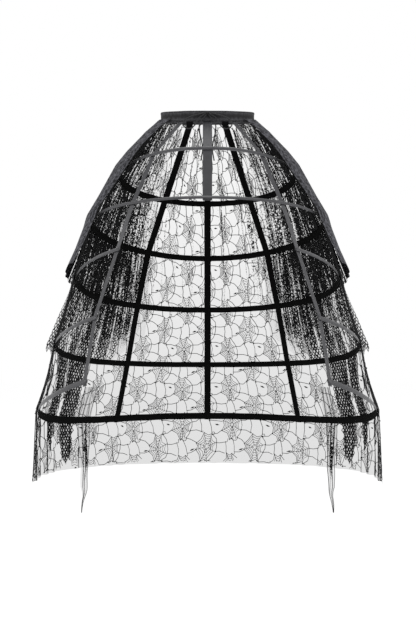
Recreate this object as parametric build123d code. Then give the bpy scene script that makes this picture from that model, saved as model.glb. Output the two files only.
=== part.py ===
from build123d import *
from dataclasses import dataclass
import math
import os

# Waistband: a ruched elastic band, level with the origin in front and higher behind
waist_half_width = 131.5
waist_half_depth = 107.5
waistband_height = 30.0
waistband_thickness = 4.0
waist_back_rise = 25.0
ruche_depth = 1.6
ruche_count = 40

# Hoops from the top one down: ovals with the front high and the back low
hoop_half_widths = (245.0, 326.0, 365.0, 421.0, 468.0)
hoop_half_depths = (210.0, 282.5, 400.0, 471.0, 512.7)
hoop_setbacks = (40.0, 47.5, 0.0, -1.0, 7.0)
hoop_drops = (151.0, 286.0, 451.0, 635.0, 819.0)
hoop_back_dips = (54.0, 80.0, 74.0, 65.0, 50.0)
hoop_front_rises = (55.0, 53.0, 78.0, 89.0, 116.0)
casing_heights = (18.0, 18.0, 18.0, 18.0, 22.0)
casing_thickness = 1.2
bone_height = 8.0
bone_thickness = 1.5
closed_hoop_count = 2

# Tapes: half the space between each pair, at the waist and at each hoop
front_tape_spreads = (66.0, 141.0, 199.0, 230.0, 283.0, 304.0)
back_tape_spreads = (53.0, 128.0, 182.0, 217.0, 252.0, 288.0)
side_tape_width = 20.0
centre_front_tape_width = 25.0
tape_thickness = 1.0
tape_lap = 12.0

# Lace: a gathered skirt, two flounces and a hanging tail at each side
lace_thickness = 1.0
lace_lap = 9.0
lace_ease = 4.5
fold_depth = 9.0
fold_shares = (0.15, 0.6, 0.75, 0.8, 0.75, 0.75, 1.0)
fold_count = 22
hem_half_width = 472.0
hem_half_depth = 530.0
hem_setback = 16.0
hem_drop = 1000.0
hem_back_dip = 27.0
lace_front_angles = (30.0, 30.0, 18.0, 16.0, 15.0, 14.0, 12.0)
flounce_fold_count = 8
upper_flounce_level_shares = (0.0, 0.7, 1.5, 2.0, 2.92)
upper_flounce_flares = (1.6, 16.0, 11.0, 10.0, 20.0)
middle_flounce_top_share = 2.0
middle_flounce_hem_share = 4.04
middle_flounce_level_shares = (middle_flounce_top_share, 3.0, middle_flounce_hem_share, 6.0)
middle_flounce_flares = (1.3, 8.0, 13.0, 17.0)
middle_flounce_row_shares = (0.0, 0.49, 0.75, 0.85, 1.0)
net_point_columns = (6, 8)
net_point_shares = (1.5, 1.75)
net_point_reach_share = 1.6
tail_tip_drop = 1155.0
tail_widths = (34.0, 30.0, 16.0, 26.0, 6.0)
tail_level_shares = (4.45, 5.0, 5.5, 6.0)
tail_thickness = 5.0
tail_fold_count = 3
tail_column = 11

# Spider webs worked in the lace at the back, in half-drop rows
web_pitch = 157.0
web_row_pitch = 134.0
web_radius = 27.0
web_hub_radius = 5.0
web_thread = 3.0
web_first_drop = 430.0
web_row_count = 5
web_column_count = 3
web_spokes = 8

# Drawstring bow
cord_size = 2.6
corner_share = 0.45
knot_width = 9.0
knot_height = 8.0
knot_depth = 6.0
knot_corner = 1.8
knot_lift = 8.0

# Clearances
sewn_clearance = 0.4
seat_clearance = 0.3

samples_per_ring = 40


@dataclass
class Ring:
    half_width: float
    half_depth: float
    setback: float
    drop: float
    dip: float
    rise: float
    front_angle: float

    def bow(self):
        front = math.sin(self.front_angle)
        return (self.rise + self.dip * front) / (front * front - front)

    def at(self, angle):
        sine = math.sin(angle)
        slope = -self.dip - self.bow()
        height = -self.drop + slope * sine + self.bow() * sine * sine
        return Vector(self.half_width * math.cos(angle), self.setback + self.half_depth * sine, height)

    def along(self, angle):
        sine = math.sin(angle)
        cosine = math.cos(angle)
        slope = -self.dip - self.bow() + 2 * self.bow() * sine
        return Vector(-self.half_width * sine, self.half_depth * cosine, slope * cosine).normalized()


def front_angle_of(number):
    if number <= closed_hoop_count:
        return -math.pi / 2
    return -math.acos(front_tape_spreads[number] / hoop_half_widths[number - 1])


def make_rings():
    tilt = -waist_back_rise / 2
    waist_drop = waistband_height / 2 + tilt
    rings = [Ring(waist_half_width, waist_half_depth, 0, waist_drop, tilt, tilt, -math.pi / 2)]
    sizes = zip(hoop_half_widths, hoop_half_depths, hoop_setbacks, hoop_drops, hoop_back_dips, hoop_front_rises)
    for number, size in enumerate(sizes, start=1):
        rings.append(Ring(*size, front_angle_of(number)))
    rings.append(Ring(hem_half_width, hem_half_depth, hem_setback, hem_drop, hem_back_dip, 0, -math.pi / 2))
    return rings


rings = make_rings()
hoop_numbers = range(1, len(rings) - 1)


# A plane on a ring: x along the ring, y inwards, z up the slope of the cage
def station(number, angle):
    above = rings[max(number - 1, 0)].at(angle)
    below = rings[min(number + 1, max(number, len(rings) - 2))].at(angle)
    along = rings[number].along(angle)
    outwards = along.cross(above - below).normalized()
    return Plane(origin=rings[number].at(angle), x_dir=along, z_dir=outwards.cross(along))


def ring_point(number, angle, outwards, upwards):
    return station(number, angle).from_local_coords(Vector(0, -outwards, upwards))


# Waistband
def oval_points(half_width, half_depth, count):
    turns = [2 * math.pi * i / count for i in range(count)]
    return [(half_width * math.cos(turn), half_depth * math.sin(turn)) for turn in turns]


def make_waistband():
    count = 2 * ruche_count
    slope = math.atan2(waist_back_rise / 2, waist_half_depth)
    steepness = 1 / math.cos(slope)
    ridges = oval_points(waist_half_width, waist_half_depth * steepness, count)
    valleys = oval_points(waist_half_width - ruche_depth, (waist_half_depth - ruche_depth) * steepness, count)
    outline = [ridges[i] if i % 2 == 0 else valleys[i] for i in range(count)]
    inner_width = waist_half_width - waistband_thickness
    inner_depth = (waist_half_depth - waistband_thickness) * steepness
    section = make_face(Polyline(*outline, close=True)) - Ellipse(inner_width, inner_depth)
    foot = Plane(origin=(0, 0, -rings[0].drop), x_dir=(1, 0, 0), z_dir=(0, -math.sin(slope), math.cos(slope)))
    return extrude(foot * section, waistband_height, dir=(0, 0, 1))


# Hoops: each casing has its bone sewn inside it
def hoop_angles(number):
    if number <= closed_hoop_count:
        return [2 * math.pi * i / samples_per_ring for i in range(samples_per_ring)]
    overlap = side_tape_width / 2 / rings[number].half_width
    start = rings[number].front_angle - overlap
    sweep = math.pi - 2 * start
    return [start + sweep * i / samples_per_ring for i in range(samples_per_ring + 1)]


def hoop_strip(number, inner, outer, height):
    closed = number <= closed_hoop_count
    angles = hoop_angles(number)
    corners = [(inner, -height / 2), (outer, -height / 2), (outer, height / 2), (inner, height / 2)]
    curves = []
    for outwards, upwards in corners:
        points = [ring_point(number, angle, outwards, upwards) for angle in angles]
        curves.append(Spline(*points, periodic=closed))
    faces = [Face.make_surface_from_curves(curves[i - 1], curves[i]) for i in range(len(curves))]
    if not closed:
        for angle in (angles[0], angles[-1]):
            ends = [ring_point(number, angle, outwards, upwards) for outwards, upwards in corners]
            faces.append(Face(Wire.make_polygon(ends)))
    return Solid(Shell(faces))


def make_casing(number):
    return hoop_strip(number, 0, casing_thickness, casing_heights[number - 1])


def make_bone(number):
    return hoop_strip(number, -sewn_clearance - bone_thickness, -sewn_clearance, bone_height)


# Tapes: straight runs from hoop to hoop, inside the bones
def tape_section(number, angle, width, upwards):
    depth = 2 * sewn_clearance + bone_thickness + tape_thickness / 2
    plane = station(number, angle)
    plane.origin = ring_point(number, angle, -depth, upwards)
    return plane * Rectangle(width, tape_thickness)


def waist_section(angle, width, height):
    inside = waistband_thickness + sewn_clearance + tape_thickness
    band = rings[0]
    oval = Ring(band.half_width - inside, band.half_depth - inside, 0, band.drop - height, band.dip, band.rise,
                band.front_angle)
    plane = Plane(origin=oval.at(angle), x_dir=oval.along(angle), z_dir=(0, 0, 1))
    return plane * Rectangle(width, tape_thickness)


def make_tape(spreads, back, left, width):
    angles = [math.acos(spread / rings[i].half_width) for i, spread in enumerate(spreads)]
    if not back:
        angles = [-angle for angle in angles]
    if left:
        angles = [math.pi - angle for angle in angles]
    sections = [waist_section(angles[0], width, tape_lap)]
    sections.append(waist_section(angles[0], width, -tape_thickness))
    last = len(spreads) - 1
    for number in range(1, last + 1):
        foot = casing_heights[number - 1] if number == last else bone_height
        sections.append(tape_section(number, angles[number], width, bone_height / 2))
        sections.append(tape_section(number, angles[number], width, -foot / 2))
    return loft(sections, ruled=True)


# Lace: folded sheets, as rows of points from the waist to the hem
def lace_angle(row, column):
    front = math.radians(lace_front_angles[row])
    return -front + (math.pi + 2 * front) * column / (2 * fold_count)


def lace_point(row, column, outwards):
    angle = lace_angle(row, column)
    fold = fold_depth * fold_shares[row] * (column % 2)
    ease = seat_clearance if row == 0 else casing_thickness + lace_ease
    upwards = lace_lap if row == 0 else 0
    if row == 0:
        reach = ease + fold + outwards
        return rings[0].at(angle) + Vector(math.cos(angle) * reach, math.sin(angle) * reach, upwards)
    return ring_point(row, angle, ease + fold + outwards, upwards)


def between_rows(level, column, outwards):
    row = min(int(level), len(rings) - 2)
    part_way = level - row
    upper = lace_point(row, column, outwards)
    lower = lace_point(row + 1, column, outwards)
    return upper + (lower - upper) * part_way


def quad_faces(a, b, c, d):
    return [Face(Wire.make_polygon([a, b, c])), Face(Wire.make_polygon([a, c, d]))]


def sheet_solid(inner, outer):
    faces = []
    last_row = len(inner) - 1
    last_column = len(inner[0]) - 1
    for row in range(last_row):
        for column in range(last_column):
            for side in (inner, outer):
                corners = (side[row][column], side[row][column + 1])
                faces += quad_faces(*corners, side[row + 1][column + 1], side[row + 1][column])
        for column in (0, last_column):
            ends = (inner[row][column], outer[row][column])
            faces += quad_faces(*ends, outer[row + 1][column], inner[row + 1][column])
    for row in (0, last_row):
        for column in range(last_column):
            ends = (inner[row][column], inner[row][column + 1])
            faces += quad_faces(*ends, outer[row][column + 1], outer[row][column])
    return Solid(Shell(faces))


def lace_sheet(columns, row_count, level_of, flare_of):
    walls = []
    for thickness in (0, lace_thickness):
        rows = []
        for row in range(row_count):
            levels = [level_of(row, column) for column in columns]
            places = zip(levels, columns)
            rows.append([between_rows(level, column, flare_of(level) + thickness) for level, column in places])
        walls.append(rows)
    return sheet_solid(*walls)


def flare_at(levels, flares, level):
    i = max(k for k in range(len(levels) - 1) if k == 0 or levels[k] <= level)
    return flares[i] + (flares[i + 1] - flares[i]) * (level - levels[i]) / (levels[i + 1] - levels[i])


def web_punches():
    sectors = []
    step = 2 * math.pi / web_spokes
    for row in range(web_row_count):
        odd = row % 2
        for column in range(web_column_count - odd):
            across = column - (web_column_count - 1 - odd) / 2
            middle = Vector(across * web_pitch, -web_first_drop - row * web_row_pitch)
            for spoke in range(web_spokes):
                turn = spoke * step
                narrow = web_thread / 2 / web_radius
                hub = middle + Vector(web_hub_radius, 0).rotate(Axis.Z, math.degrees(turn + step / 2))
                first = middle + Vector(web_radius, 0).rotate(Axis.Z, math.degrees(turn + narrow))
                second = middle + Vector(web_radius, 0).rotate(Axis.Z, math.degrees(turn + step - narrow))
                sectors.append(make_face(Polyline(hub, first, second, close=True)))
    wall = hem_setback + hem_half_depth + fold_depth + lace_ease
    return [extrude(Plane.XZ * sector, -2 * wall) for sector in sectors]


def make_lace_skirt():
    columns = range(2 * fold_count + 1)
    sheet = lace_sheet(columns, len(rings), lambda row, column: row, lambda level: 0)
    return sheet - web_punches()


def flounce_columns(left):
    count = 2 * flounce_fold_count
    return range(2 * fold_count - count, 2 * fold_count + 1) if left else range(count + 1)


def make_upper_flounce(left):
    levels = upper_flounce_level_shares
    return lace_sheet(flounce_columns(left), len(levels), lambda row, column: levels[row],
                      lambda level: flare_at(levels, upper_flounce_flares, level))


# The middle flounce is cut to hang in two long points
def middle_flounce_level(row, column):
    place = min(column, 2 * fold_count - column)
    drop = 0
    for middle, length in zip(net_point_columns, net_point_shares):
        drop = max(drop, length * (1 - abs(place - middle) / net_point_reach_share))
    hem = middle_flounce_hem_share + drop
    return middle_flounce_top_share + (hem - middle_flounce_top_share) * middle_flounce_row_shares[row]


def make_middle_flounce(left):
    return lace_sheet(flounce_columns(left), len(middle_flounce_row_shares), middle_flounce_level,
                      lambda level: flare_at(middle_flounce_level_shares, middle_flounce_flares, level))


# Tails: gathered ends of net, caught on a fold of the skirt and longer than its hem
def tail_outline(width):
    count = 2 * tail_fold_count
    narrowing = width / tail_widths[0]
    front = []
    for i in range(count + 1):
        fold = tail_thickness * narrowing * (i % 2)
        front.append(Vector(width * (i / count - 1 / 2), -fold))
    back = [point - Vector(0, lace_thickness * narrowing) for point in reversed(front)]
    return make_face(Polyline(*front, *back, close=True))


def make_tail(left):
    column = 2 * fold_count - tail_column if left else tail_column
    outwards = lace_thickness + seat_clearance
    points = [between_rows(level, column, outwards) for level in tail_level_shares]
    points.append(Vector(points[-1].X, points[-1].Y, -tail_tip_drop))
    sections = []
    for point, width in zip(points, tail_widths):
        across = Vector(-point.Y, point.X, 0)
        sections.append(Plane(origin=point, x_dir=across, z_dir=(0, 0, 1)) * tail_outline(width))
    return loft(sections, ruled=True)


# Drawstring: the routes of the free cord, for the left half of the bow
bow_front = -waist_half_depth - seat_clearance
loop_route = [(-5, -4, 8), (-24, -4, 3), (-46, -5, -2), (-63, -6, -12), (-68, -7, -24), (-60, -8, -35),
              (-46, -8, -37), (-35, -8, -28), (-29, -7, -16), (-22, -6, -4), (-5, -6, 5)]
tail_route = [(-3, -3, 3), (-9, -4, -5), (-18, -5, -14), (-23, -6, -28), (-22, -5, -44), (-18, -4, -60),
              (-14, -3, -78), (-13, -3, -96), (-16, -3, -110), (-18, -3, -122)]


def corner_radii(points):
    radii = []
    for before, corner, after in zip(points, points[1:], points[2:]):
        turn = math.radians((corner - before).get_angle(after - corner))
        shorter = min((corner - before).length, (after - corner).length)
        radii.append(corner_share * shorter / math.tan(turn / 2))
    return radii


def make_cord(route, left):
    points = [Vector(x if left else -x, bow_front + y, z) for x, y, z in route]
    radii = corner_radii(points)
    print("cord radii", [round(radius, 1) for radius in radii])
    path = FilletPolyline(*points, radius=radii)
    start = Plane(origin=path @ 0, z_dir=path % 0)
    solid = sweep(start * Rectangle(cord_size, cord_size), path)
    print("cord length", round(path.length, 1), "volume", round(solid.volume, 1))
    return solid


def make_knot():
    middle = Pos(0, bow_front - knot_depth / 2, knot_lift)
    return middle * chamfer(Box(knot_width, knot_depth, knot_height).edges(), knot_corner)


def write(name, solid):
    export_step(solid, os.path.join("parts", name + ".step"))


os.makedirs("parts", exist_ok=True)
write("waistband", make_waistband())
for number in hoop_numbers:
    write(f"hoop_casing_{number}", make_casing(number))
    write(f"hoop_bone_{number}", make_bone(number))
centre_spreads = [0] * (closed_hoop_count + 1)
write("centre_front_tape", make_tape(centre_spreads, False, False, centre_front_tape_width))
write("centre_back_tape", make_tape([0] * len(back_tape_spreads), True, False, side_tape_width))
for side in ("left", "right"):
    left = side == "left"
    write(f"front_tape_{side}", make_tape(front_tape_spreads, False, left, side_tape_width))
    write(f"back_tape_{side}", make_tape(back_tape_spreads, True, left, side_tape_width))
    write(f"upper_flounce_{side}", make_upper_flounce(left))
    write(f"middle_flounce_{side}", make_middle_flounce(left))
    write(f"lace_tail_{side}", make_tail(left))
    write(f"bow_loop_{side}", make_cord(loop_route, left))
    write(f"bow_tail_{side}", make_cord(tail_route, left))
write("bow_knot", make_knot())
write("lace_skirt", make_lace_skirt())
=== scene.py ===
import math

import bmesh
import bpy
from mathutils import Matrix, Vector, noise


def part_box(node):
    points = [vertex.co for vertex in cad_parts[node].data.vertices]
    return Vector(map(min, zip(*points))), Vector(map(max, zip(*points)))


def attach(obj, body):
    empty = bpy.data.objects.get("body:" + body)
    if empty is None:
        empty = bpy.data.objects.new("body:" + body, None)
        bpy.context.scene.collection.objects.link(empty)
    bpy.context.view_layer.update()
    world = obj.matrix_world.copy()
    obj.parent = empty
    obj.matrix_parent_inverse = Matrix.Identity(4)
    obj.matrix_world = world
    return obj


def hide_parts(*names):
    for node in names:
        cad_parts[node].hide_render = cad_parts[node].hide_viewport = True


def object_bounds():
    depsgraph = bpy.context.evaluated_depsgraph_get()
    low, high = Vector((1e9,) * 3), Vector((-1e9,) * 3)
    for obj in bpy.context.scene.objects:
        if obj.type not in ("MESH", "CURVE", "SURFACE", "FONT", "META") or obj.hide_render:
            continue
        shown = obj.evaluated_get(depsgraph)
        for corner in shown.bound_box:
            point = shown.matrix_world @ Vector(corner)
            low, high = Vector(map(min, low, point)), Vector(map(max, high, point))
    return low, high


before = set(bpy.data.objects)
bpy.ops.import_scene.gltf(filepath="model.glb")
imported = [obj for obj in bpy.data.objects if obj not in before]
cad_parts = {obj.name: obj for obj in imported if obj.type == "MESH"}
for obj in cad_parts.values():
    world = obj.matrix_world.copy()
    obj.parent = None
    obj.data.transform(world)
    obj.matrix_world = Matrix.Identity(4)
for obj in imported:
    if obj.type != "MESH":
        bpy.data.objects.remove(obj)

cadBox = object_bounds()
print("cage loaded:", len(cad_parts), "pieces")


# colours are written as on a swatch and turned to linear here
def swatch(code):
    parts = [int(code[i:i + 2], 16) / 255 for i in (1, 3, 5)]
    return [p / 12.92 if p <= 0.04045 else ((p + 0.055) / 1.055) ** 2.4 for p in parts] + [1.0]


# adds one node, sets its values and links its inputs
def addNode(tree, kind, settings=None, **inputs):
    node = tree.nodes.new(kind)
    for name, value in (settings or {}).items():
        setattr(node, name, value)
    for name, value in inputs.items():
        socket = node.inputs[int(name[1:])] if name[1:].isdigit() else node.inputs[name.replace("_", " ")]
        if isinstance(value, bpy.types.NodeSocket):
            tree.links.new(value, socket)
        else:
            socket.default_value = value
    return node


def newMaterial(name):
    material = bpy.data.materials.new(name)
    material.use_nodes = True
    tree = material.node_tree
    tree.nodes.clear()
    output = addNode(tree, "ShaderNodeOutputMaterial")
    return material, tree, output


# a colour between two swatches
def twoTone(tree, amount, dark, light):
    mix = addNode(tree, "ShaderNodeMix", {"data_type": "RGBA"}, i0=amount, i6=swatch(dark), i7=swatch(light))
    return mix.outputs[2]


# the shader that ends a material
def coat(tree, output, **finish):
    shader = addNode(tree, "ShaderNodeBsdfPrincipled", None, **finish)
    tree.links.new(shader.outputs[0], output.inputs[0])


# the cage's own ovals, waist first and hem last, in metres
cage = {
    "halfWidth": (0.1315, 0.245, 0.326, 0.365, 0.421, 0.468, 0.472),
    "halfDepth": (0.1075, 0.210, 0.2825, 0.400, 0.471, 0.5127, 0.530),
    "setback": (0.0, 0.040, 0.0475, 0.0, -0.001, 0.007, 0.016),
    "drop": (0.0025, 0.151, 0.286, 0.451, 0.635, 0.819, 1.0),
    "backDip": (-0.0125, 0.054, 0.080, 0.074, 0.065, 0.050, 0.027),
    "frontRise": (-0.0125, 0.055, 0.053, 0.078, 0.089, 0.116, 0.0),
    "openHalf": (0.0, 0.0, 0.0, 0.230, 0.283, 0.304, 0.0),
    "hoops": 5,
}
waistRow = 0
hemRow = cage["hoops"] + 1


def frontAngle(row):
    return -math.acos(cage["openHalf"][row] / cage["halfWidth"][row])


def ringBow(row):
    front = math.sin(frontAngle(row))
    return (cage["frontRise"][row] + cage["backDip"][row] * front) / (front * front - front)


ringBows = [ringBow(row) for row in range(hemRow + 1)]


def ringAt(row, angle):
    sine = math.sin(angle)
    bow = ringBows[row]
    z = -cage["drop"][row] - (cage["backDip"][row] + bow) * sine + bow * sine * sine
    x = cage["halfWidth"][row] * math.cos(angle)
    y = cage["setback"][row] + cage["halfDepth"][row] * sine
    return Vector((x, y, z))


# point, along, outwards and upwards on an oval of the cage
def stationAt(row, angle):
    sine, cosine = math.sin(angle), math.cos(angle)
    bow = ringBows[row]
    slope = -cage["backDip"][row] - bow + 2 * bow * sine
    along = Vector((-cage["halfWidth"][row] * sine, cage["halfDepth"][row] * cosine, slope * cosine))
    along.normalize()
    above = ringAt(max(row - 1, 0), angle)
    below = ringAt(min(row + 1, max(row, cage["hoops"])), angle)
    outwards = along.cross(above - below).normalized()
    return ringAt(row, angle), along, outwards, outwards.cross(along)


def smooth(low, high, x):
    x = min(max((x - low) / (high - low), 0.0), 1.0)
    return x * x * (3 - 2 * x)


# a smooth wave without a repeat; each seed gives another one
def wander(x, seed):
    return noise.noise(Vector((x, seed * 7.31, seed * 1.77)))


# a grid laid out flat, then each point put in its place; uv keeps the flat size in metres
def gridPiece(name, across, down, place, flat, materials, slotOf=None, closed=False, amounts=None):
    bm = bmesh.new()
    bmesh.ops.create_grid(bm, x_segments=across, y_segments=down, size=0.5)
    uv = bm.loops.layers.uv.new("UVMap")
    gather = bm.verts.layers.float.new("gather")
    for face in bm.faces:
        for loop in face.loops:
            u, v = loop.vert.co.x + 0.5, loop.vert.co.y + 0.5
            loop[uv].uv = (u * flat[0], v * flat[1])
        if slotOf:
            middle = face.calc_center_median()
            face.material_index = slotOf(middle.x + 0.5, middle.y + 0.5)
        face.smooth = True
    for vert in bm.verts:
        u, v = vert.co.x + 0.5, vert.co.y + 0.5
        if amounts:
            vert[gather] = amounts(u, v)
        vert.co = place(u, v)
    if closed:
        bmesh.ops.remove_doubles(bm, verts=bm.verts, dist=0.00001)
        ends = [edge for edge in bm.edges if edge.is_boundary]
        if ends:
            bmesh.ops.holes_fill(bm, edges=ends, sides=0)
        bmesh.ops.recalc_face_normals(bm, faces=bm.faces)
    return finishMesh(name, bm, materials)


def finishMesh(name, bm, materials):
    mesh = bpy.data.meshes.new(name)
    bm.to_mesh(mesh)
    bm.free()
    for material in materials:
        mesh.materials.append(material)
    piece = bpy.data.objects.new(name, mesh)
    bpy.context.scene.collection.objects.link(piece)
    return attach(piece, "root")


# a wave texture's scale for bands this far apart: its sine runs 20 radians in one unit
def bandScale(pitchMm):
    return 2 * math.pi * 1000 / pitchMm / 20


# satin-faced polyester tape: fine cross ribs, a soft sheen and a charcoal face, painted lighter than the
# tape's inner side as painted light
def satinTape():
    ribMm = 2.4  # real ribs are about 0.6 mm, drawn coarser so that they show
    material, tree, output = newMaterial("satinWovenTape")
    coords = addNode(tree, "ShaderNodeUVMap", {"uv_map": "UVMap"})
    ribs = addNode(tree, "ShaderNodeTexWave", {"bands_direction": "X"}, Vector=coords.outputs[0],
                   Scale=bandScale(ribMm), Distortion=0.6, Detail=2.0)
    blotch = addNode(tree, "ShaderNodeTexNoise", None, Vector=coords.outputs[0], Scale=40.0, Detail=4.0)
    # painted light: the charcoal stands for the lit outer side of a tape whose inner side is painted
    # near-black
    tone = twoTone(tree, blotch.outputs["Fac"], "#28282b", "#3e3e42")
    shade = addNode(tree, "ShaderNodeMix", {"data_type": "RGBA", "blend_type": "MULTIPLY"}, i0=0.25,
                    i6=tone, i7=ribs.outputs["Color"])
    bump = addNode(tree, "ShaderNodeBump", None, Height=ribs.outputs["Fac"], Strength=0.35, Distance=0.0003)
    coat(tree, output, Base_Color=shade.outputs[2], Roughness=0.42, Sheen_Weight=0.3, Sheen_Roughness=0.4,
         Normal=bump.outputs[0])
    return material


# the inner side of the same tape: matt, painted near-black as painted shade, with the bone's stitching ribs
def shadedTapeBack():
    ribMm = 2.4
    material, tree, output = newMaterial("mattTapeBackShaded")
    coords = addNode(tree, "ShaderNodeUVMap", {"uv_map": "UVMap"})
    ribs = addNode(tree, "ShaderNodeTexWave", {"bands_direction": "X"}, Vector=coords.outputs[0],
                   Scale=bandScale(ribMm), Distortion=0.6, Detail=2.0)
    # painted shade: near-black on the inner side of the same tape
    tone = twoTone(tree, ribs.outputs["Fac"], "#080808", "#121212")
    bump = addNode(tree, "ShaderNodeBump", None, Height=ribs.outputs["Fac"], Strength=0.3, Distance=0.0003)
    coat(tree, output, Base_Color=tone, Roughness=0.95, Specular_IOR_Level=0.05, Normal=bump.outputs[0])
    return material


# shirred elastic: black rib knit pinched by rows of stitches
def ruchedElastic():
    ribMm, rowMm = 3.0, 5.0
    material, tree, output = newMaterial("shirredElastic")
    coords = addNode(tree, "ShaderNodeUVMap", {"uv_map": "UVMap"})
    ribs = addNode(tree, "ShaderNodeTexWave", {"bands_direction": "X"}, Vector=coords.outputs[0],
                   Scale=bandScale(ribMm), Distortion=3.0, Detail=3.0)
    blotch = addNode(tree, "ShaderNodeTexNoise", None, Vector=coords.outputs[0], Scale=90.0, Detail=5.0)
    rows = addNode(tree, "ShaderNodeTexWave", {"bands_direction": "Y"}, Vector=coords.outputs[0],
                   Scale=bandScale(rowMm), Distortion=2.0, Detail=3.0, Detail_Scale=2.0)
    # paler horizontal rows, patchy along the band
    patchyPaleRows = addNode(tree, "ShaderNodeMath", {"operation": "MULTIPLY"}, i0=rows.outputs["Fac"],
                   i1=blotch.outputs["Fac"])
    tone = twoTone(tree, patchyPaleRows.outputs[0], "#0b0b0c", "#505054")
    bump = addNode(tree, "ShaderNodeBump", None, Height=ribs.outputs["Fac"], Strength=0.4, Distance=0.0004)
    coat(tree, output, Base_Color=tone, Roughness=0.7, Specular_IOR_Level=0.25, Sheen_Weight=0.1,
         Normal=bump.outputs[0])
    return material


# nylon boning: a smooth black strip
def nylonBone():
    material, tree, output = newMaterial("nylonBoning")
    coords = addNode(tree, "ShaderNodeTexCoord")
    blotch = addNode(tree, "ShaderNodeTexNoise", None, Vector=coords.outputs["Object"], Scale=120.0)
    tone = twoTone(tree, blotch.outputs["Fac"], "#101011", "#1a1a1b")
    coat(tree, output, Base_Color=tone, Roughness=0.35)
    return material


# black polyester thread: matt, slightly paler where it stands up
def laceThread():
    material, tree, output = newMaterial("polyesterLaceThread")
    coords = addNode(tree, "ShaderNodeTexCoord")
    fuzz = addNode(tree, "ShaderNodeTexNoise", None, Vector=coords.outputs["Object"], Scale=400.0)
    tone = twoTone(tree, fuzz.outputs["Fac"], "#0a0a0b", "#1a1a1c")
    coat(tree, output, Base_Color=tone, Roughness=0.8, Specular_IOR_Level=0.2, Sheen_Weight=0.05)
    return material


# net cloth: black thread round small holes; the more it is gathered the smaller they get,
# with open slits between the gathers, and a veil of fine tulle over all; the outer side is painted grey as
# painted light, the inner side near-black as painted shade
def netCloth(name, meshMm, threadShare, sheer, face, sheerTop=None, inside="#0b0b0c"):
    slitMm, slitLengthMm = 11.0, 300.0
    material, tree, output = newMaterial(name)
    coords = addNode(tree, "ShaderNodeUVMap", {"uv_map": "UVMap"})
    meshes = addNode(tree, "ShaderNodeMapping", None, Vector=coords.outputs[0],
                     Scale=(1000 / meshMm, 1000 / meshMm / 1.5, 1))
    cells = addNode(tree, "ShaderNodeTexVoronoi", {"feature": "DISTANCE_TO_EDGE"}, Vector=meshes.outputs[0],
                    Scale=1.0, Randomness=0.6)
    bunches = addNode(tree, "ShaderNodeMapping", None, Vector=coords.outputs[0],
                      Scale=(1000 / slitMm, 1000 / slitLengthMm, 1))
    slits = addNode(tree, "ShaderNodeTexNoise", None, Vector=bunches.outputs[0], Scale=1.0, Detail=2.0)
    slack = addNode(tree, "ShaderNodeMapRange", None, Value=slits.outputs["Fac"],
                    From_Min=0.40, From_Max=0.57, To_Min=1.2, To_Max=0.08)
    gather = addNode(tree, "ShaderNodeAttribute", {"attribute_name": "gather"})
    surplus = addNode(tree, "ShaderNodeMapRange", None, Value=gather.outputs["Fac"],
                      From_Min=1.0, From_Max=2.0, To_Min=0.0, To_Max=1.1)
    bunched = addNode(tree, "ShaderNodeMath", {"operation": "MULTIPLY_ADD"}, i0=slack.outputs[0],
                      i1=gather.outputs["Fac"], i2=surplus.outputs[0])
    limit = addNode(tree, "ShaderNodeMath", {"operation": "MULTIPLY"}, i0=bunched.outputs[0], i1=threadShare)
    threads = addNode(tree, "ShaderNodeMath", {"operation": "LESS_THAN"}, i0=cells.outputs["Distance"],
                      i1=limit.outputs[0])
    split = addNode(tree, "ShaderNodeSeparateXYZ", None, Vector=coords.outputs[0])
    veil = addNode(tree, "ShaderNodeMapRange", None, Value=split.outputs["Y"],
                   From_Min=0.0, From_Max=0.9, To_Min=sheer, To_Max=sheerTop or sheer)
    cover = addNode(tree, "ShaderNodeMath", {"operation": "MAXIMUM"}, i0=threads.outputs[0],
                    i1=veil.outputs[0])
    blotch = addNode(tree, "ShaderNodeTexNoise", None, Vector=coords.outputs[0], Scale=110.0, Detail=4.0)
    crisp = addNode(tree, "ShaderNodeMapRange", None, Value=blotch.outputs["Fac"],
                    From_Min=0.38, From_Max=0.62)
    # painted light: the outer side's grey, blotched at random
    outside = twoTone(tree, crisp.outputs[0], "#1c1c1e", face)
    # painted shade: faces seen from behind, the net's inner side, take the dark inside colour
    side = addNode(tree, "ShaderNodeNewGeometry")
    tone = addNode(tree, "ShaderNodeMix", {"data_type": "RGBA"}, i0=side.outputs["Backfacing"],
                   i6=outside, i7=swatch(inside))
    coat(tree, output, Base_Color=tone.outputs[2], Roughness=0.8, Specular_IOR_Level=0.2,
         Alpha=cover.outputs[0])
    return material


# braided cotton cord
def braidedCord():
    plaitMm = 3.0
    material, tree, output = newMaterial("braidedCord")
    coords = addNode(tree, "ShaderNodeTexCoord")
    plait = addNode(tree, "ShaderNodeTexWave", {"bands_direction": "DIAGONAL"},
                    Vector=coords.outputs["Object"], Scale=bandScale(plaitMm), Distortion=1.0)
    tone = twoTone(tree, plait.outputs["Fac"], "#0c0c0d", "#1e1e20")
    bump = addNode(tree, "ShaderNodeBump", None, Height=plait.outputs["Fac"], Strength=0.4, Distance=0.0003)
    coat(tree, output, Base_Color=tone, Roughness=0.65, Normal=bump.outputs[0])
    return material


tapeLitFace = satinTape()
tapeShadedInside = shadedTapeBack()
elastic = ruchedElastic()
boneStrip = nylonBone()
thread = laceThread()
cordBraid = braidedCord()
# each net's face colour is its outer side painted lit; its inside colour is painted shade
webTulle = netCloth("webLaceTulle", 6.0, 0.26, 0.28, "#3c3c3e", sheerTop=0.09)
upperNet = netCloth("denseFlounceNet", 5.0, 0.34, 0.06, "#5c5c61", inside="#3a3a3d")
openNet = netCloth("flounceTulle", 5.0, 0.34, 0.10, "#3c3c3e")
tailTulle = netCloth("tailTulle", 4.0, 0.3, 0.2, "#3c3c3e")
print("materials ready")

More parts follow.
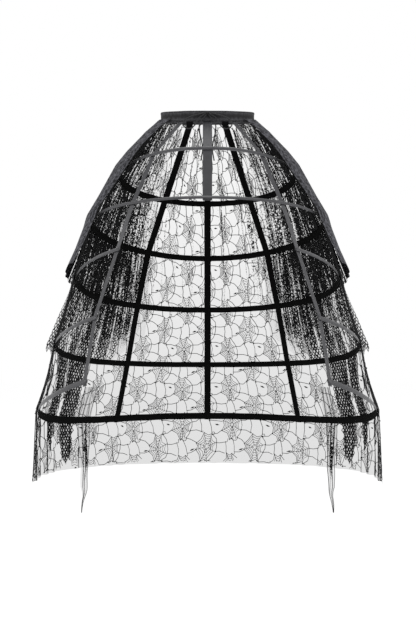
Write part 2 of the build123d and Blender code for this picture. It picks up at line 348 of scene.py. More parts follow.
# camera level with the middle of the skirt, straight in front of the opening
view = {"distance": 3.2, "eye": -0.531, "aside": 0.0014, "lens": 65.94, "sensor": 36.0}
cameraData = bpy.data.cameras.new("camera")
cameraData.lens = view["lens"]
cameraData.sensor_width = view["sensor"]
camera = bpy.data.objects.new("camera", cameraData)
camera.location = (view["aside"], -view["distance"], view["eye"])
camera.rotation_euler = (math.radians(90), 0, 0)
bpy.context.scene.collection.objects.link(camera)
bpy.context.scene.camera = camera

# drawstring bow, the left half first; the right half mirrors it;
# the routes are in millimetres from the front of the band, lengths and thickness in metres
bow = {
    "front": -0.1078,
    "loop": ((-5, -4, 8), (-24, -4, 3), (-46, -5, -2), (-63, -6, -12), (-68, -7, -24), (-60, -8, -35),
             (-46, -8, -37), (-35, -8, -28), (-29, -7, -16), (-22, -6, -4), (-5, -6, 5)),
    "tail": ((-3, -3, 3), (-9, -4, -5), (-18, -5, -14), (-23, -6, -28), (-22, -5, -44), (-18, -4, -60),
             (-14, -3, -78), (-13, -3, -96), (-16, -3, -110), (-18, -3, -122)),
    "thick": 0.0034,
    "loopLength": 0.160,
    "tailLength": 0.133,
    "knotSteps": 96, "knotWide": 2.77, "knotTall": 3.0, "knotLeast": 0.0005,
}


# a curve turned to a mesh piece of its own, with one material
def curveMesh(name, data, material):
    curve = bpy.data.objects.new(name + "Line", data)
    bpy.context.scene.collection.objects.link(curve)
    bpy.context.view_layer.update()
    mesh = bpy.data.meshes.new_from_object(curve.evaluated_get(bpy.context.evaluated_depsgraph_get()))
    bpy.data.objects.remove(curve)
    mesh.name = name
    mesh.materials.clear()
    mesh.materials.append(material)
    piece = bpy.data.objects.new(name, mesh)
    bpy.context.scene.collection.objects.link(piece)
    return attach(piece, "root")


def cordCurve(name, points):
    data = bpy.data.curves.new(name, "CURVE")
    data.dimensions = "3D"
    data.bevel_depth = bow["thick"] / 2
    data.bevel_resolution = 3
    data.use_fill_caps = True
    spline = data.splines.new("NURBS")
    spline.points.add(len(points) - 1)
    for knot, point in zip(spline.points, points):
        knot.co = (*point, 1)
    spline.order_u = 3
    spline.use_endpoint_u = True
    spline.resolution_u = 8
    data.materials.append(cordBraid)
    piece = bpy.data.objects.new(name, data)
    bpy.context.scene.collection.objects.link(piece)
    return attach(piece, "root")


def bowPoints(route, side):
    return [Vector((side * x / 1000, bow["front"] + y / 1000, z / 1000)) for x, y, z in route]


# the knot: cord closed in a trefoil that fills the solid knot's box
def makeKnot():
    steps = bow["knotSteps"]
    data = bpy.data.curves.new("bowKnot", "CURVE")
    data.dimensions = "3D"
    data.bevel_depth = bow["thick"] / 2
    data.bevel_resolution = 2
    spline = data.splines.new("POLY")
    spline.points.add(steps - 1)
    spline.use_cyclic_u = True
    low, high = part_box("bow_knot")
    middle = (Vector(low) + Vector(high)) / 2
    reach = (Vector(high) - Vector(low)) / 2
    room = [max(side - bow["thick"] / 2, bow["knotLeast"]) for side in reach]
    for i, point in enumerate(spline.points):
        turn = 2 * math.pi * i / steps
        x = (math.sin(turn) + 2 * math.sin(2 * turn)) / bow["knotWide"]
        z = (math.cos(turn) - 2 * math.cos(2 * turn)) / bow["knotTall"]
        y = math.sin(3 * turn)
        point.co = (middle.x + x * room[0], middle.y + y * room[1], middle.z + z * room[2], 1)
    knot = curveMesh("bowKnot", data, cordBraid)
    for polygon in knot.data.polygons:
        polygon.use_smooth = True
    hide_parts("bow_knot")


makeKnot()
for sideName, side in (("left", 1), ("right", -1)):
    for part in ("loop", "tail"):
        points = bowPoints(bow[part], side)
        cordPiece = cordCurve(f"bow{part.title()}{sideName.title()}", points)
        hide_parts(f"bow_{part}_{sideName}")
print("drawstring tied")

# hoop casings: woven sleeves that swell over the bone, ripple at the edges and narrow towards the front
casing = {
    "heights": (0.0, 0.018, 0.018, 0.018, 0.018, 0.022), "tapeHalf": 0.010, "steps": 220, "around": 20,
    "frontShare": 0.64, "drawnIn": (0.3, -0.5),
    "edge": 0.0004, "edgeRound": 0.5, "face": 0.0014, "inside": 0.0025,
    "crown": 0.66, "crownPower": 6, "crownRound": 0.2,
    "ripple": 0.0007, "rippleRate": 9, "rippleLeast": 0.4,
}


def hoopSweep(row):
    if cage["openHalf"][row] == 0:
        return 0.0, 2 * math.pi
    start = frontAngle(row) - casing["tapeHalf"] / cage["halfWidth"][row]
    return start, math.pi - 2 * start


def makeCasing(row):
    start, sweep = hoopSweep(row)
    half = casing["heights"][row] / 2

    def place(u, v):
        angle = start + sweep * u
        point, _, outwards, upwards = stationAt(row, angle)
        turn = 2 * math.pi * v
        across, bulge = -math.cos(turn), abs(math.sin(turn))
        swell = math.exp(-(across / casing["crown"]) ** casing["crownPower"]) * bulge ** casing["crownRound"]
        depth = casing["face"] if v < 0.5 else casing["inside"]
        out = casing["edge"] * bulge ** casing["edgeRound"] + (depth - casing["edge"]) * swell
        wave = Vector((math.cos(angle), math.sin(angle), row)) * casing["rippleRate"]
        ripple = casing["ripple"] * noise.noise(wave) * (casing["rippleLeast"] + abs(across))
        drawn = 1 - (1 - casing["frontShare"]) * smooth(*casing["drawnIn"], math.sin(angle))
        out = out if v < 0.5 else -out
        return point + outwards * out + upwards * (across * half * drawn + ripple)

    length = sweep * cage["halfWidth"][row]
    # outer half takes the lit tape colour (painted light), inner half the near-black one (painted shade)
    piece = gridPiece(f"hoopCasing{row}", casing["steps"], casing["around"], place, (length, 2 * half),
                      (tapeLitFace, tapeShadedInside), lambda u, v: 0 if v < 0.5 else 1, closed=True)
    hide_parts(f"hoop_casing_{row}")


for row in range(1, hemRow):
    makeCasing(row)
    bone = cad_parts[f"hoop_bone_{row}"]
    bone.data.materials.clear()
    bone.data.materials.append(boneStrip)
print("hoops cased")

# tapes that hang the hoops from the waistband, inside the bones
tape = {
    "frontSpread": (0.075, 0.147, 0.199, 0.230, 0.283, 0.304),
    "backSpread": (0.053, 0.128, 0.182, 0.217, 0.252, 0.288),
    "width": 0.020, "frontWidth": 0.015, "centreWidth": 0.025, "thick": 0.001, "lap": 0.012, "clear": 0.0028,
    "bandInside": 0.0054, "steps": 90, "around": 12, "halfBone": 0.004, "edgeRound": 0.4,
    "slack": 0.0015, "slackRate": 6, "waver": 0.0006, "waverRate": 14,
}


def tapeStations(spreads, back, side):
    stations = []
    for row, spread in enumerate(spreads):
        angle = math.acos(spread / cage["halfWidth"][row]) * (1 if back else -1)
        if side > 0:
            angle = math.pi - angle
        if row == waistRow:
            foot = ringAt(row, angle).z
            point = Vector(((cage["halfWidth"][0] - tape["bandInside"]) * math.cos(angle),
                            (cage["halfDepth"][0] - tape["bandInside"]) * math.sin(angle), 0))
            along = stationAt(row, angle)[1]
            for z in (foot + tape["lap"], foot - tape["thick"]):
                stations.append((Vector((point.x, point.y, z)), along, along.cross(Vector((0, 0, 1)))))
            continue
        point, along, outwards, upwards = stationAt(row, angle)
        inner = point - outwards * tape["clear"]
        last = row == len(spreads) - 1
        foot = casing["heights"][row] / 2 if last else tape["halfBone"]
        stations.append((inner + upwards * tape["halfBone"], along, outwards))
        stations.append((inner - upwards * foot, along, outwards))
    return stations


def makeTape(name, node, spreads, back, side, width):
    stations = tapeStations(spreads, back, side)
    runs = [0.0]
    for before, after in zip(stations, stations[1:]):
        runs.append(runs[-1] + (after[0] - before[0]).length)
    seed = len(name) + 3 * side

    def place(u, v):
        travel = u * runs[-1]
        i = max(k for k in range(len(runs) - 1) if runs[k] <= travel + 1e-9)
        part = (travel - runs[i]) / (runs[i + 1] - runs[i])
        point = stations[i][0].lerp(stations[i + 1][0], part)
        along = stations[i][1].lerp(stations[i + 1][1], part).normalized()
        outwards = stations[i][2].lerp(stations[i + 1][2], part).normalized()
        turn = 2 * math.pi * v
        across = -math.cos(turn)
        thick = tape["thick"] / 2 * abs(math.sin(turn)) ** tape["edgeRound"]
        slack = math.sin(math.pi * part) * tape["slack"] * wander(travel * tape["slackRate"], seed)
        lift = thick if v < 0.5 else -thick
        edge = across * width / 2 + tape["waver"] * wander(travel * tape["waverRate"], seed + 5)
        return point + along * edge + outwards * (lift + slack)

    # outer half takes the lit tape colour (painted light), inner half the near-black one (painted shade)
    piece = gridPiece(name, tape["steps"], tape["around"], place, (runs[-1], 2 * width),
                      (tapeLitFace, tapeShadedInside), lambda u, v: 0 if v < 0.5 else 1, closed=True)
    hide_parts(node)


makeTape("centreFrontTape", "centre_front_tape", (0.0,) * 3, False, -1, tape["centreWidth"])
makeTape("centreBackTape", "centre_back_tape", (0.0,) * 6, True, -1, tape["width"])
for sideName, side in (("left", 1), ("right", -1)):
    makeTape(f"frontTape{sideName.title()}", f"front_tape_{sideName}", tape["frontSpread"], False, side,
             tape["frontWidth"])
    makeTape(f"backTape{sideName.title()}", f"back_tape_{sideName}", tape["backSpread"], True, side,
             tape["width"])
print("tapes hung")

# waistband: elastic shirred in channels by rows of stitches
band = {
    "high": 0.015, "rim": 0.0005, "thick": 0.0021, "square": 0.3, "flat": (0.75, 0.07),
    "steps": 768, "around": 48, "channels": 4, "ruches": 96, "ruffle": 0.0011, "sway": 2.2, "swayRate": 9,
    "tuck": 1.5, "tuckRise": 3, "tuckRate": 20, "sag": 0.00048, "sagRate": 3, "sagStart": 5,
}


def makeWaistband():
    def place(u, v):
        angle = 2 * math.pi * u
        turn = 2 * math.pi * v
        sine, cosine = math.sin(turn), math.cos(turn)
        height = math.copysign(abs(sine) ** band["square"], sine)
        depth = math.copysign(abs(cosine) ** band["square"], cosine)
        channel = abs(math.sin(math.pi * band["channels"] * (height + 1) / 2))
        sway = band["sway"] * wander(angle * band["swayRate"], 2)
        tuck = band["tuck"] * wander(height * band["tuckRise"] + angle * band["tuckRate"], 4)
        phase = band["ruches"] * angle + sway + tuck
        ruche = band["ruffle"] * channel * (0.5 + 0.5 * math.sin(phase))
        sag = band["sag"] * wander(math.cos(angle) * band["sagRate"] + band["sagStart"], 6)
        out = depth * band["thick"] - band["thick"] + (ruche - band["ruffle"]) * (1 if depth > 0 else -1)
        x = (cage["halfWidth"][waistRow] + out) * math.cos(angle)
        y = (cage["halfDepth"][waistRow] + out) * math.sin(angle)
        z = ringAt(waistRow, angle).z + band["high"] + height * (band["high"] - band["rim"]) + sag
        return Vector((x, y, z))

    piece = gridPiece("shirredWaistband", band["steps"], band["around"], place, band["flat"], (elastic,),
                      closed=True)
    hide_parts("waistband")


makeWaistband()
print("waistband shirred")

# lace: sheets that hang from the waist over the hoops
lace = {
    "ease": (0.0, 0.002, 0.002, 0.002, 0.002, 0.0035, 0.002), "lap": 0.009, "seat": 0.0005,
    "frontDegrees": (30.0, 30.0, 18.0, 16.0, 15.0, 14.0, 12.0),
    "foldDepth": (0.0012, 0.0054, 0.0068, 0.0055, 0.003, 0.003, 0.010),
    "sag": (0.0, 0.0, 0.0, 0.004, 0.006, 0.0), "folds": 22, "backFold": 0.45, "sideFold": (0.12, 0.42),
    "swings": ((0.32, 5), (0.2, 11)), "overlap": 0.6,
    "gathers": 88, "gatherDepth": 0.0007, "gatherFade": (2.6, 0.3),
}
# lengths down the lace are measured this far round from the side
measuredAt = math.pi / 3
rowSpan = [0.0]
for row in range(hemRow):
    rowSpan.append(rowSpan[-1] + (ringAt(row + 1, measuredAt) - ringAt(row, measuredAt)).length)
skirtLength = rowSpan[-1]


# a length down the lace turned to a level, which counts rows from the waist
def levelAt(length):
    row = max(k for k in range(hemRow) if rowSpan[k] <= length + 1e-9)
    return row + (length - rowSpan[row]) / (rowSpan[row + 1] - rowSpan[row])


def lerpRow(values, level):
    row = min(int(level), len(values) - 2)
    return values[row] + (values[row + 1] - values[row]) * (level - row)


def lerpTable(table, level):
    for (low, start), (high, end) in zip(table, table[1:]):
        if level <= high:
            return start + (end - start) * max(level - low, 0) / (high - low)
    return table[-1][1]


def rowPoint(row, angle, out, across):
    if row == waistRow:
        reach = lace["seat"] + out
        aside = Vector((-math.sin(angle), math.cos(angle), 0)) * across
        standing = Vector((math.cos(angle) * reach, math.sin(angle) * reach, lace["lap"]))
        return ringAt(waistRow, angle) + standing + aside
    point, along, outwards, _ = stationAt(row, angle)
    return point + outwards * (lace["ease"][row] + out) + along * across


# a place on the lace: share across from the right front edge, level down, and how far it stands off
def lacePoint(share, level, off):
    level = min(max(level, 0.0), hemRow)
    row = min(int(level), hemRow - 1)
    front = math.radians(lerpRow(lace["frontDegrees"], level))
    angle = -front + (math.pi + 2 * front) * share
    aside = share - 0.5
    side = smooth(*lace["sideFold"], abs(aside))
    depth = lerpRow(lace["foldDepth"], level) * (lace["backFold"] + (1 - lace["backFold"]) * side)
    swing = sum(size * math.sin(2 * math.pi * count * aside) for size, count in lace["swings"])
    phase = 2 * math.pi * (lace["folds"] * aside + swing)
    gathered = lace["gatherDepth"] * smooth(*lace["gatherFade"], level)
    fine = gathered * math.cos(2 * math.pi * lace["gathers"] * aside)
    between = 4 * (level - row) * (row + 1 - level) * lace["sag"][row]
    out = off + depth * (0.5 + 0.5 * math.cos(phase)) + fine + lace["gatherDepth"] - between
    across = depth * lace["overlap"] * math.sin(2 * phase)
    upper = rowPoint(row, angle, out, across)
    lower = rowPoint(row + 1, angle, out, across)
    return upper.lerp(lower, level - row)


# threads and knots: poly lines made round; fat ones swell in the middle
def threadPiece(name, runs, thick, fat=False):
    thinEnd = 0.15
    data = bpy.data.curves.new(name, "CURVE")
    data.dimensions = "3D"
    data.bevel_depth = thick
    data.bevel_resolution = 0
    for run in runs:
        spline = data.splines.new("POLY")
        spline.points.add(len(run) - 1)
        for i, (knot, place) in enumerate(zip(spline.points, run)):
            knot.co = (*place, 1)
            if fat:
                knot.radius = 1.0 if i == 1 else thinEnd
    piece = curveMesh(name, data, thread)
    print(name, "faces:", len(piece.data.polygons))
    return piece


# spans run from none to all: across in shares of the width, down in levels
skirt = {
    "width": 1.88, "across": 560, "down": 80,
    "margin": 2.0, "marginAcross": (0.06, 0.03), "marginLoss": 0.6, "marginDown": (4.6, 5.4),
    "shoulderAcross": (0.36, 0.20), "shoulderDown": (4.2, 2.2),
    "crease": 0.8, "creaseHalf": 0.12, "creaseDown": (3.6, 1.2), "creaseRate": 46,
    "creaseBend": 0.5, "creaseBendRate": 1.5,
}


# dense where the lace is bunched: at its front edges, high at the sides, and in creases below the waist
def skirtGather(share, level):
    edge = 0.5 - abs(share - 0.5)
    kept = 1 - skirt["marginLoss"] * smooth(*skirt["marginDown"], level)
    margin = smooth(*skirt["marginAcross"], edge) * kept
    shoulder = smooth(*skirt["shoulderAcross"], edge) * smooth(*skirt["shoulderDown"], level)
    bend = skirt["creaseBend"] * wander(level * skirt["creaseBendRate"], 9)
    ridge = abs(wander(share * skirt["creaseRate"] + bend, 3))
    crease = skirt["crease"] * smooth(skirt["creaseHalf"], 0.0, ridge) * smooth(*skirt["creaseDown"], level)
    return max(skirt["margin"] * margin, shoulder, crease)


def makeSkirt():
    piece = gridPiece("laceSkirt", skirt["across"], skirt["down"],
                      lambda u, v: lacePoint(u, levelAt((1 - v) * skirtLength), 0.0),
                      (skirt["width"], skirtLength), (webTulle,),
                      amounts=lambda u, v: skirtGather(u, levelAt((1 - v) * skirtLength)))
    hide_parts("lace_skirt")
    return piece


# spider-web lace, one repeat: two webs, and the places that the threads between them run round;
# places on the flat lace are in millimetres, lifts and the threads' radii in metres
web = {
    "pitch": 178.0, "rowPitch": 134.0, "start": 0.3, "reach": 140.0, "same": 0.1,
    "webs": ((0, 0), (89, 67)), "webWeight": 1.85, "rings": (0.22, 0.42, 0.62, 0.82), "hub": 0.08,
    "cells": ((4, 68), (94, 2), (50, 30), (-41, 37), (43, -36),
              (-50, -28), (60, -6), (-52, 4), (141, 62), (38, 71)),
    "thick": 0.0009, "ringThick": 0.0007, "liftShare": 0.4, "sag": 0.17,
    "drift": 11.0, "driftSpan": 75.0, "driftApart": (31.7, 12.4, 5.3), "cutSide": 6.0, "cutHem": 3.0,
    "fly": (50, 7, 0.32), "flyHalf": 8.0, "flyThick": 0.0026,
    "knot": (0, 41), "knotHalf": 3.5, "knotLift": 0.001, "beadHalf": 2.6, "beadThick": 0.0017,
}


def siteWeight(place):
    return web["webWeight"] if place in web["webs"] else 1.0


# each corner of a closed outline with the next one
def sidesOf(outline):
    return zip(outline, outline[1:] + outline[:1])


# what is nearer to one site than to any other, cut from a square;
# each corner keeps the site that the next side is shared with
def cellOutline(place):
    site, own = Vector(place), siteWeight(place)
    corners = ((-1, -1), (1, -1), (1, 1), (-1, 1))
    outline = [(site + Vector(corner) * web["reach"], None) for corner in corners]
    for other, weight in neighbours(site):
        half, away = site.lerp(other, own / (own + weight)), other - site
        kept = []
        for (a, shared), (b, _) in sidesOf(outline):
            sideA, sideB = (a - half).dot(away), (b - half).dot(away)
            if sideA <= 0:
                kept.append((a, shared))
            if sideA * sideB < 0:
                kept.append((a.lerp(b, sideA / (sideA - sideB)), other if sideA < 0 else shared))
        outline = kept
    return outline


def neighbours(site):
    sites = []
    for row in range(-2, 3):
        for column in range(-2, 3):
            for place in web["webs"] + web["cells"]:
                other = Vector((place[0] + column * web["pitch"], place[1] + row * web["rowPitch"]))
                if web["same"] < (other - site).length < web["reach"]:
                    sites.append((other, siteWeight(place)))
    return sites


# a thread between two points that hangs a little towards a third
def slackThread(a, b, towards):
    return [a, ((a + b) / 2).lerp(towards, web["sag"]), b]


# lines of one repeat: the threads between the webs, each drawn once, and webs of spokes and rings
def webRepeat():
    cells, webs = [], []
    for place in web["cells"] + web["webs"]:
        site = Vector(place)
        outline = cellOutline(place)
        for (a, shared), (b, _) in sidesOf(outline):
            if (shared - site).to_tuple(3) > (0, 0):
                cells.append(slackThread(a, b, site))
    for place in web["webs"]:
        site = Vector(place)
        corners = [corner for corner, _ in cellOutline(place)]
        for corner in corners:
            webs.append([site.lerp(corner, web["hub"]), site.lerp(corner, 0.5), corner])
        for share in web["rings"]:
            ring = [site.lerp(corner, share) for corner in corners]
            webs += [slackThread(a, b, site) for a, b in sidesOf(ring)]
    return cells, webs


def webPattern():
    cells, webs, knots, beads = [], [], [], []
    cellLines, webLines = webRepeat()
    for row in range(-1, int(1000 * skirtLength / web["rowPitch"]) + 2):
        for column in range(-1, int(1000 * skirt["width"] / web["pitch"]) + 2):
            shift = Vector(((column + web["start"]) * web["pitch"], row * web["rowPitch"]))
            cells += [[point + shift for point in line] for line in cellLines]
            webs += [[point + shift for point in line] for line in webLines]
            for tilt, place in zip((1, -1), web["webs"]):
                hub = Vector(place) + shift
                across, down, lean = web["fly"]
                half = Vector((math.cos(lean), tilt * math.sin(lean))) * web["flyHalf"]
                fly = hub + Vector((across, tilt * down))
                tie = hub + Vector(web["knot"])
                small = Vector((web["knotHalf"], 0))
                knots += [[fly - half, fly, fly + half], [tie - small, tie, tie + small]]
            for a, bend, b in cellLines:
                pull = (bend - a).normalized() * web["beadHalf"]
                beads.append([a + shift - pull, a + shift, a + shift + pull])
    return cells, webs, knots, beads


# no two repeats are quite alike
def drift(point):
    place = Vector((point.x, point.y, 0)) / web["driftSpan"]
    elsewhere = place + Vector(web["driftApart"])
    return Vector((noise.noise(place), noise.noise(elsewhere))) * web["drift"]


def onSkirt(point):
    right = 1000 * skirt["width"] - web["cutSide"]
    foot = 1000 * skirtLength - web["cutHem"]
    return web["cutSide"] < point.x < right and web["cutSide"] < point.y < foot


# cuts flat lines at the lace's edges and lays what is left on the skirt
def laidOnSkirt(lines, lift):
    runs = []
    for line in lines:
        run = []
        for point in [place + drift(place) for place in line] + [None]:
            if point is not None and onSkirt(point):
                run.append(lacePoint(point.x / 1000 / skirt["width"], levelAt(point.y / 1000), lift))
                continue
            if len(run) > 1:
                runs.append(run)
            run = []
    return runs


laceSkirt = makeSkirt()
cellLines, webLines, knotLines, beadLines = webPattern()
lift = web["thick"] * web["liftShare"]
cellThreads = threadPiece("cellThreads", laidOnSkirt(cellLines, lift), web["thick"])
webThreads = threadPiece("webThreads", laidOnSkirt(webLines, lift), web["ringThick"])
webKnots = threadPiece("webKnots", [run for run in laidOnSkirt(knotLines, web["knotLift"]) if len(run) == 3],
                       web["flyThick"], fat=True)
webBeads = threadPiece("webBeads", [run for run in laidOnSkirt(beadLines, lift) if len(run) == 3],
                       web["beadThick"], fat=True)
print("skirt hung")

# upper flounce: dense net puffed out from the waistband, closing off towards the back
upper = {
    "stand": ((0.0, 0.0012), (0.25, 0.013), (0.7, 0.018), (1.5, 0.013),
              (2.2, 0.011), (2.6, 0.016), (3.0, 0.025)),
    "front": -0.045, "share": 0.36, "hem": 2.98, "across": 240, "down": 60, "width": 0.60, "length": 0.44,
    "gather": 0.75, "gatherAcross": (1.0, 0.55), "selvedge": 0.25, "selvedgeAcross": (1.0, 0.93),
    "margin": 0.6, "marginWide": 0.3, "marginMore": 0.42,
    "marginDown": (1.4, 0.4), "marginFade": (0.06, -0.04),
}
# middle flounce: open fishnet that falls in two long points at each side
middle = {
    "stand": ((2.0, 0.0014), (3.2, 0.003), (3.6, 0.007), (4.04, 0.012), (4.6, 0.008), (6.0, 0.010)),
    "front": 0.04, "share": 0.36, "top": 2.0, "hem": 4.04,
    "across": 220, "down": 70, "width": 0.70, "length": 0.62, "area": 0.24,
    "points": ((0.147, 0.019, 1.55), (0.197, 0.027, 1.80)), "pointPower": 3,
    "ragged": (0.1, 14, 5), "raggedPoint": (0.12, 60, 15), "backLift": 0.5, "backAcross": (0.75, 1.0),
    "frill": 0.010, "frillWidth": 0.035, "frillDown": (3.0, 3.7),
    "gather": 0.95, "gatherFront": (0.3, 0.5), "gatherBack": (1.0, 0.8), "gatherDown": (4.4, 3.0),
    "gatherFoot": (0.0, 0.3), "pointGather": 0.45, "pointDown": (3.9, 4.2),
    "cell": 0.0120, "threads": ((-1.0, 0.0044), (-0.1, 0.0054), (0.15, 0.0068)),
    "streaks": 55, "streakBend": 0.6, "streakBendRate": 5, "slit": 0.2, "slitFrom": 0.3,
    "netBack": 0.74, "netBackWander": 0.3, "netBackRate": 11, "netCut": 0.004,
    "lowMore": 0.1, "lowSpan": 0.2, "frontMore": 0.3, "frontAcross": (0.25, 0.1),
}


def makeUpperFlounce(sideName, side):
    def place(u, v):
        level = (1 - v) * upper["hem"]
        share = upper["front"] + u * (upper["share"] - upper["front"])
        return lacePoint(share if side < 0 else 1 - share, level, lerpTable(upper["stand"], level))

    def bunched(u, v):
        level = (1 - v) * upper["hem"]
        edge = upper["marginWide"] + upper["marginMore"] * smooth(*upper["marginDown"], level)
        gather = upper["gather"] * smooth(*upper["gatherAcross"], u)
        selvedge = upper["selvedge"] * smooth(*upper["selvedgeAcross"], u)
        margin = upper["margin"] * smooth(*[edge + fade for fade in upper["marginFade"]], u)
        return gather + selvedge + margin

    piece = gridPiece(f"upperFlounce{sideName}", upper["across"], upper["down"], place,
                      (upper["width"], upper["length"]), (upperNet,), amounts=bunched)
    if side > 0:
        piece.data.flip_normals()
    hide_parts(f"upper_flounce_{sideName.lower()}")


def middleShare(u):
    return middle["front"] + u * (middle["share"] - middle["front"])


def middleHem(u):
    share = middleShare(u)
    drop = 0.0
    for centre, half, height in middle["points"]:
        away = abs(share - centre) / half
        drop = max(drop, height * (1 - away ** middle["pointPower"]))
    size, rate, seed = middle["ragged"]
    ragged = size * wander(u * rate, seed)
    size, rate, seed = middle["raggedPoint"]
    ragged += size * wander(u * rate, seed) * min(drop, 1)
    return middle["hem"] + drop + ragged - middle["backLift"] * smooth(*middle["backAcross"], u)


# bunched towards the back and in the two points, thinning out at its edges
def middleGather(u, v):
    level = middle["top"] + (1 - v) * (middleHem(u) - middle["top"])
    sides = smooth(*middle["gatherFront"], u) * smooth(*middle["gatherBack"], u)
    inner = sides * smooth(*middle["gatherDown"], level) * smooth(*middle["gatherFoot"], v)
    point = smooth(*middle["pointDown"], level)
    return max(middle["gather"] * inner, middle["pointGather"] * point)


def makeMiddleFlounce(sideName, side):
    def place(u, level):
        share = middleShare(max(u, middle["frillWidth"]))
        edge = max(0.0, 1 - u / middle["frillWidth"])
        frill = middle["frill"] * edge * smooth(*middle["frillDown"], level)
        return lacePoint(share if side < 0 else 1 - share, level, lerpTable(middle["stand"], level) + frill)

    cloth = gridPiece(f"middleFlounce{sideName}", middle["across"], middle["down"],
                      lambda u, v: place(u, middle["top"] + (1 - v) * (middleHem(u) - middle["top"])),
                      (middle["width"], middle["length"]), (openNet,), amounts=middleGather)
    if side > 0:
        cloth.data.flip_normals()
    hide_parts(f"middle_flounce_{sideName.lower()}")

    # how the net is bunched, in streaks down the gathers
    def streak(centre):
        bend = middle["streakBend"] * wander(centre.y * middle["streakBendRate"], 3)
        return wander(centre.x * middle["streaks"] + bend, 12)

    # the net itself: a diamond grid with its cells opened, cut to the hem and laid on the same drape
    bm = bmesh.new()
    topLength = rowSpan[2]
    span = skirtLength - topLength
    size = middle["width"] + span
    count = int(size / middle["cell"])
    bmesh.ops.create_grid(bm, x_segments=count, y_segments=count, size=size / 2)
    for vert in bm.verts:
        x, y = vert.co.x, vert.co.y
        vert.co.x = (x - y) * math.sqrt(0.5) + middle["width"] / 2
        vert.co.y = (x + y) * math.sqrt(0.5) + span / 2
    outside = []
    for face in bm.faces:
        centre = face.calc_center_median()
        u = centre.x / middle["width"]
        level = levelAt(topLength + max(centre.y, 0.0))
        backEdge = middle["netBack"] + middle["netBackWander"] * wander(centre.y * middle["netBackRate"], 8)
        slit = u > middle["slitFrom"] and level < middle["hem"] and streak(centre) > middle["slit"]
        inside = 0 < u < backEdge and middle["netCut"] < centre.y < span - middle["netCut"]
        if slit or not inside or level > middleHem(u):
            outside.append(face)
    bmesh.ops.delete(bm, geom=outside, context="FACES")
    bunches = {thick: [] for _, thick in middle["threads"]}
    for face in bm.faces:
        centre = face.calc_center_median()
        low = smooth(middle["hem"] - middle["lowSpan"], middle["hem"], levelAt(topLength + centre.y))
        front = smooth(*middle["frontAcross"], centre.x / middle["width"])
        amount = streak(centre) + max(middle["lowMore"] * low, middle["frontMore"] * front)
        bunches[[thick for least, thick in middle["threads"] if amount >= least][-1]].append(face)
    for thick, faces in bunches.items():
        bmesh.ops.inset_individual(bm, faces=faces, thickness=thick / 2, use_even_offset=True)
    holes = [face for face in bm.faces if all(len(edge.link_faces) == 2 for edge in face.edges)
             and all(len(vert.link_edges) == 3 for vert in face.verts)]
    bmesh.ops.delete(bm, geom=holes, context="FACES_ONLY")
    for vert in bm.verts:
        u = min(max(vert.co.x / middle["width"], 0.0), 1.0)
        level = levelAt(min(max(topLength + vert.co.y, 0.0), skirtLength))
        vert.co = place(u, level)
    for face in bm.faces:
        face.smooth = True
    net = finishMesh(f"middleNet{sideName}", bm, (thread,))
    print("net faces:", len(net.data.polygons))


for sideName, side in (("Left", 1), ("Right", -1)):
    makeUpperFlounce(sideName, side)
    makeMiddleFlounce(sideName, side)
print("flounces gathered")

# tails: gathered ends of sheer net that hang below the hem
tail = {
    "share": 0.25, "stand": 0.012, "across": 36, "down": 90, "width": 0.068,
    "levels": (4.45, 5.0, 5.5, 6.0), "drops": ((-1.075, 0.003), (-1.105, 0.002), (-1.155, 0.010)),
    "half": (0.022, 0.025, 0.020, 0.014, 0.012, 0.006, 0.001),
    "folds": 3, "foldShare": 0.3, "twist": 4, "sway": 0.003, "swayRate": 16, "swaySpan": (0.5, 0.1),
    "bunch": 1.1, "bunchAt": (0.45, 0.62), "bunchAcross": (0.4, 0.1), "bunchDown": (0.26, 0.0),
    "thread": 0.0010, "threadsAt": (0.03, 0.45, 0.88), "threadWave": 0.1, "threadRate": 7, "threadSteps": 30,
}


def makeTail(sideName, side):
    share = tail["share"] if side < 0 else 1 - tail["share"]
    line = [lacePoint(share, level, tail["stand"]) for level in tail["levels"]]
    hem = line[-1]
    for z, inwards in tail["drops"]:
        line.append(Vector((hem.x - side * inwards, hem.y, z)))
    outwards = Vector((line[0].x, line[0].y, 0)).normalized()
    across = Vector((-outwards.y, outwards.x, 0))

    def place(u, v):
        spot = (1 - v) * (len(line) - 1)
        i = min(int(spot), len(line) - 2)
        point = line[i].lerp(line[i + 1], spot - i)
        half = tail["half"][i] + (tail["half"][i + 1] - tail["half"][i]) * (spot - i)
        fold = math.sin(2 * math.pi * tail["folds"] * u + tail["twist"] * v) * half * tail["foldShare"]
        sway = side * tail["sway"] * math.sin(tail["swayRate"] * v) * smooth(*tail["swaySpan"], v)
        return point + across * ((u - 0.5) * 2 * half + sway) + outwards * fold

    def bunched(u, v):
        middleU, middleV = tail["bunchAt"]
        down = smooth(*tail["bunchDown"], abs(v - middleV))
        return tail["bunch"] * down * smooth(*tail["bunchAcross"], abs(u - middleU))

    def threadLine(u):
        steps = tail["threadSteps"]
        waves = [tail["threadWave"] * math.sin(tail["threadRate"] * k / steps) for k in range(steps + 1)]
        return [place(u + wave, 1 - k / steps) for k, wave in enumerate(waves)]

    length = sum((b - a).length for a, b in zip(line, line[1:]))
    piece = gridPiece(f"laceTail{sideName}", tail["across"], tail["down"], place,
                      (tail["width"], length), (tailTulle,), amounts=bunched)
    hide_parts(f"lace_tail_{sideName.lower()}")
    runs = [threadLine(u) for u in tail["threadsAt"]]
    edges = threadPiece(f"tailThreads{sideName}", runs, tail["thread"])


for sideName, side in (("Left", 1), ("Right", -1)):
    makeTail(sideName, side)
print("tails hung")

# plain pale floor, white studio and soft lamps
studio = {
    "floorDrop": 0.012, "floorSize": 14.0, "floorGlow": 1.08, "floorShare": 0.85,
    "world": 0.55, "aim": (0, 0, -0.5),
}
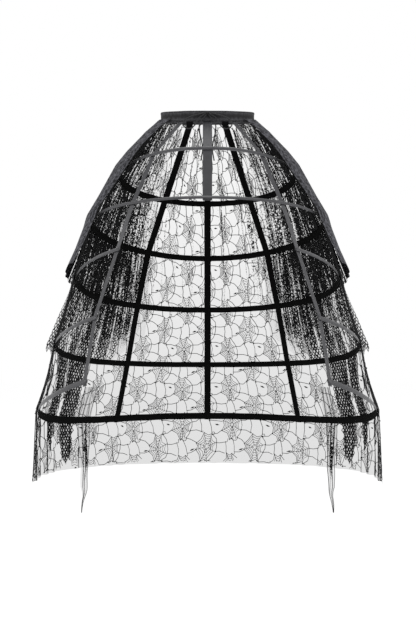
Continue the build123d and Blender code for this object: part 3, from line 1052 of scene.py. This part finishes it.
# each lamp's place, size and watts
lamps = {
    "keyLeft": ((-2.2, -2.4, 1.2), 1.4, 34.0),
    "keyRight": ((2.2, -2.4, 1.2), 1.4, 34.0),
    "sideLeft": ((-3.0, -0.9, 0.4), 1.6, 22.0),
    "sideRight": ((3.0, -0.9, 0.4), 1.6, 22.0),
    "top": ((0, 0.4, 2.4), 1.6, 22.0),
}


def makeFloor():
    material, tree, output = newMaterial("paleFloor")
    path = addNode(tree, "ShaderNodeLightPath")
    seen = addNode(tree, "ShaderNodeMath", {"operation": "ADD", "use_clamp": True},
                   i0=path.outputs["Is Camera Ray"], i1=path.outputs["Is Glossy Ray"])
    matt = addNode(tree, "ShaderNodeBsdfDiffuse", None, Color=swatch("#f4f4f4"))
    glow = addNode(tree, "ShaderNodeEmission", None, Color=swatch("#ffffff"), Strength=studio["floorGlow"])
    share = addNode(tree, "ShaderNodeMath", {"operation": "MULTIPLY"},
                    i0=seen.outputs[0], i1=studio["floorShare"])
    mix = addNode(tree, "ShaderNodeMixShader", None,
                  i0=share.outputs[0], i1=matt.outputs[0], i2=glow.outputs[0])
    tree.links.new(mix.outputs[0], output.inputs[0])
    bm = bmesh.new()
    bmesh.ops.create_grid(bm, x_segments=1, y_segments=1, size=studio["floorSize"] / 2)
    for vert in bm.verts:
        vert.co.z = cadBox[0].z - studio["floorDrop"]
    mesh = bpy.data.meshes.new("floor")
    bm.to_mesh(mesh)
    bm.free()
    mesh.materials.append(material)
    floor = bpy.data.objects.new("floor", mesh)
    bpy.context.scene.collection.objects.link(floor)


def makeWorld():
    world = bpy.data.worlds.new("studio")
    bpy.context.scene.world = world
    world.use_nodes = True
    tree = world.node_tree
    tree.nodes.clear()
    output = addNode(tree, "ShaderNodeOutputWorld")
    path = addNode(tree, "ShaderNodeLightPath")
    light = addNode(tree, "ShaderNodeBackground", None, Color=swatch("#ffffff"), Strength=studio["world"])
    white = addNode(tree, "ShaderNodeBackground", None, Color=swatch("#ffffff"), Strength=1.0)
    mix = addNode(tree, "ShaderNodeMixShader", None, i0=path.outputs["Is Camera Ray"], i1=light.outputs[0],
                  i2=white.outputs[0])
    tree.links.new(mix.outputs[0], output.inputs[0])


def addLamp(name, place, size, watts):
    data = bpy.data.lights.new(name, "AREA")
    data.size = size
    data.energy = watts
    lamp = bpy.data.objects.new(name, data)
    lamp.location = place
    lamp.rotation_euler = (Vector(studio["aim"]) - Vector(place)).to_track_quat("-Z", "Y").to_euler()
    bpy.context.scene.collection.objects.link(lamp)


makeFloor()
makeWorld()
for name, (place, size, watts) in lamps.items():
    addLamp(name, place, size, watts)
bpy.context.scene.view_settings.view_transform = "Standard"
bpy.context.scene.cycles.transparent_max_bounces = 24
print("studio lit")
